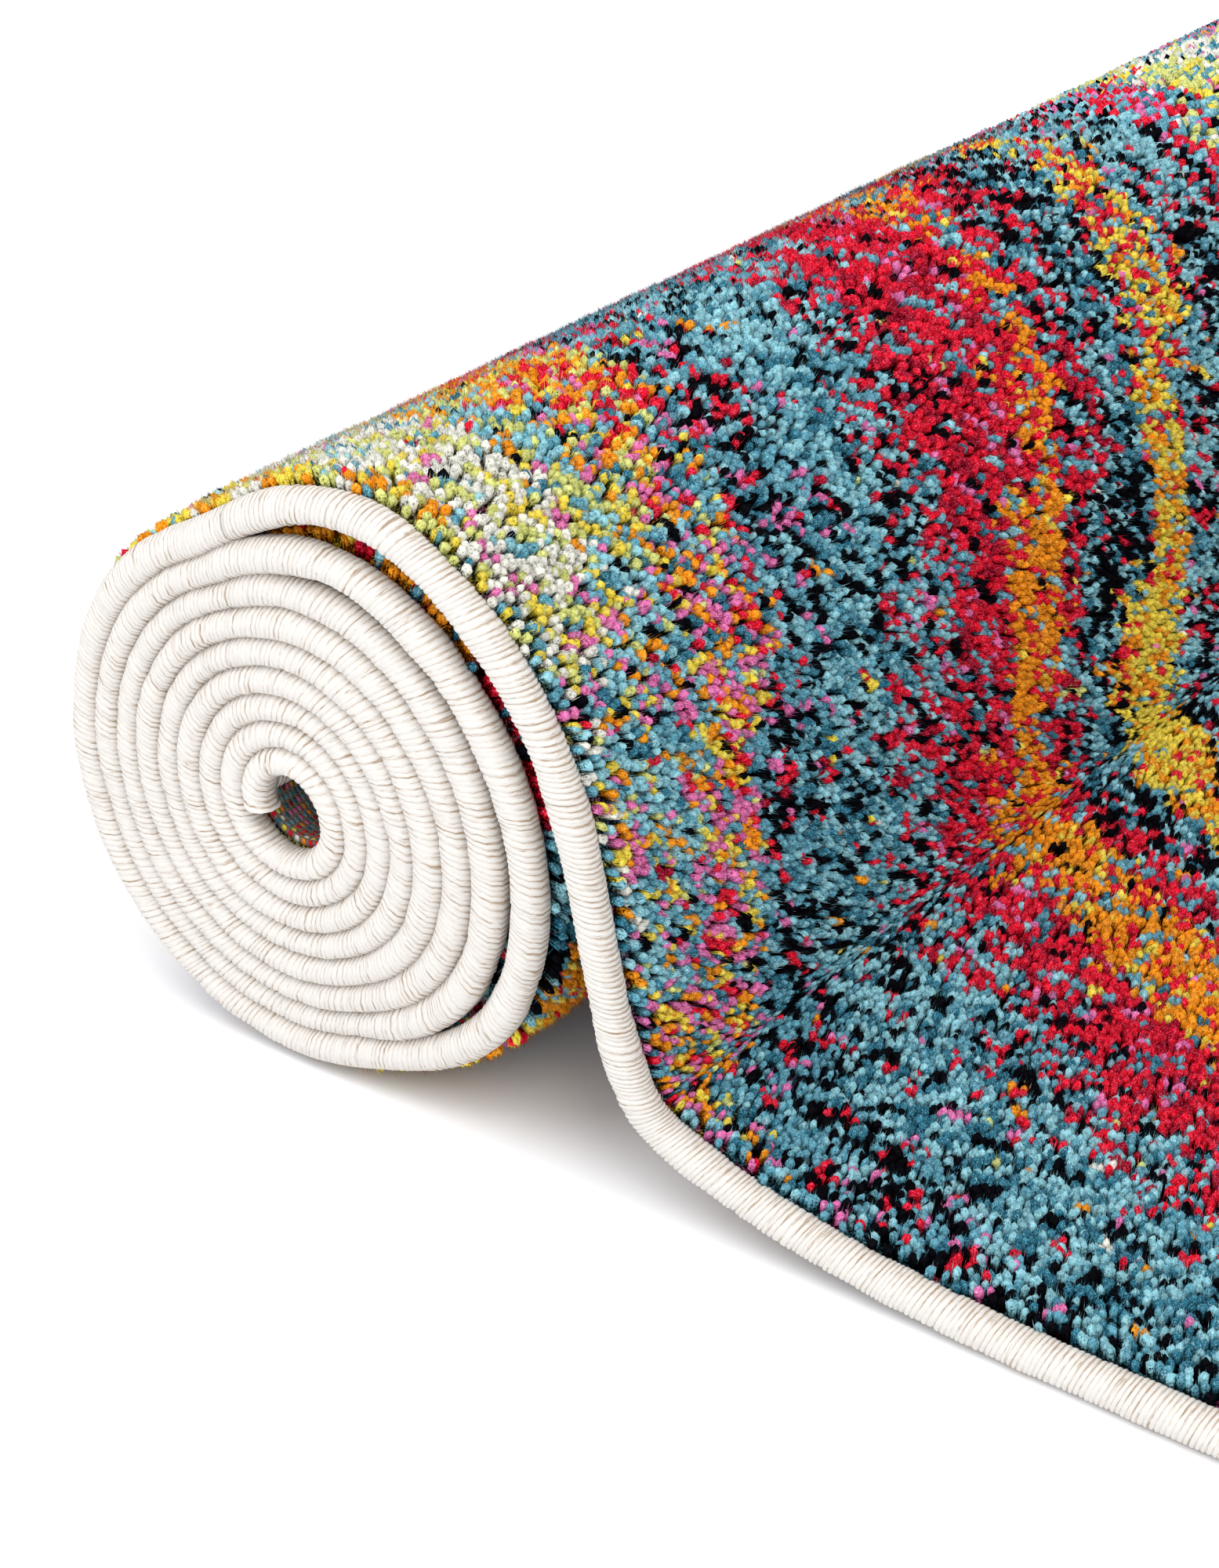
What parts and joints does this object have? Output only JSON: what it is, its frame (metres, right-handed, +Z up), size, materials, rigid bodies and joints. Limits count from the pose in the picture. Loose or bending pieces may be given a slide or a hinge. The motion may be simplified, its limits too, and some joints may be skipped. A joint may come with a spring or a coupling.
{
  "type": "area rug",
  "caption": "Rectangular cut-pile area rug with serged edges, wound into a roll pile side out, with a free end that runs off the roll, lies flat and lifts.",
  "frame": {"origin": "middle of the flat underside of the foot, which is the stretch of rug that always lies on the floor beside the roll", "axes": "+Z up from the floor, +Y along the roll, +X towards the free end of the rug"},
  "size_m": [0.6035, 1.52, 0.1556],
  "materials": {
    "pile": "heat-set cut pile in teal blue with flecked bands of crimson, black, orange, golden yellow, lime, pink and white, slightly lustrous",
    "backing": "woven jute-coloured ground with the coloured pile knots showing through",
    "binding": "off-white yarn serged tightly round the edge",
    "cord": "plain twisted filler cord"
  },
  "bodies": {
    "roll": {"roll_backing": "backing", "roll_pile": "pile", "roll_front_binding": "binding", "roll_back_binding": "binding", "roll_front_cord": "cord", "roll_back_cord": "cord", "core_end_binding": "binding", "core_end_cord": "cord", "drape_backing": "backing", "drape_pile": "pile", "drape_front_binding": "binding", "drape_back_binding": "binding", "drape_front_cord": "cord", "drape_back_cord": "cord"},
    "tail_1": {"tail_1_backing": "backing", "tail_1_pile": "pile", "tail_1_front_binding": "binding", "tail_1_back_binding": "binding", "tail_1_front_cord": "cord", "tail_1_back_cord": "cord"},
    "tail_2": {"tail_2_backing": "backing", "tail_2_pile": "pile", "tail_2_front_binding": "binding", "tail_2_back_binding": "binding", "tail_2_front_cord": "cord", "tail_2_back_cord": "cord"},
    "tail_3": {"tail_3_backing": "backing", "tail_3_pile": "pile", "tail_3_front_binding": "binding", "tail_3_back_binding": "binding", "tail_3_front_cord": "cord", "tail_3_back_cord": "cord"},
    "tail_4": {"tail_4_backing": "backing", "tail_4_pile": "pile", "tail_4_front_binding": "binding", "tail_4_back_binding": "binding", "tail_4_front_cord": "cord", "tail_4_back_cord": "cord", "tail_end_binding": "binding", "tail_end_cord": "cord"}
  },
  "joints": [
    {"name": "tail_1_lift", "type": "hinge", "parent": "roll", "child": "tail_1", "pos_m": [0.06, 0, 0.002], "axis": [0, -1, 0], "range_deg": [0, 22]},
    {"name": "tail_2_lift", "type": "hinge", "parent": "tail_1", "child": "tail_2", "pos_m": [0.11, 0, 0.002], "axis": [0, -1, 0], "range_deg": [0, 22]},
    {"name": "tail_3_lift", "type": "hinge", "parent": "tail_2", "child": "tail_3", "pos_m": [0.16, 0, 0.002], "axis": [0, -1, 0], "range_deg": [0, 22]},
    {"name": "tail_4_lift", "type": "hinge", "parent": "tail_3", "child": "tail_4", "pos_m": [0.21, 0, 0.002], "axis": [0, -1, 0], "range_deg": [0, 22]}
  ],
  "couplings": [
    {"joint": "tail_2_lift", "follows": "tail_1_lift", "ratio": 1},
    {"joint": "tail_3_lift", "follows": "tail_1_lift", "ratio": 1},
    {"joint": "tail_4_lift", "follows": "tail_1_lift", "ratio": 1}
  ]
}
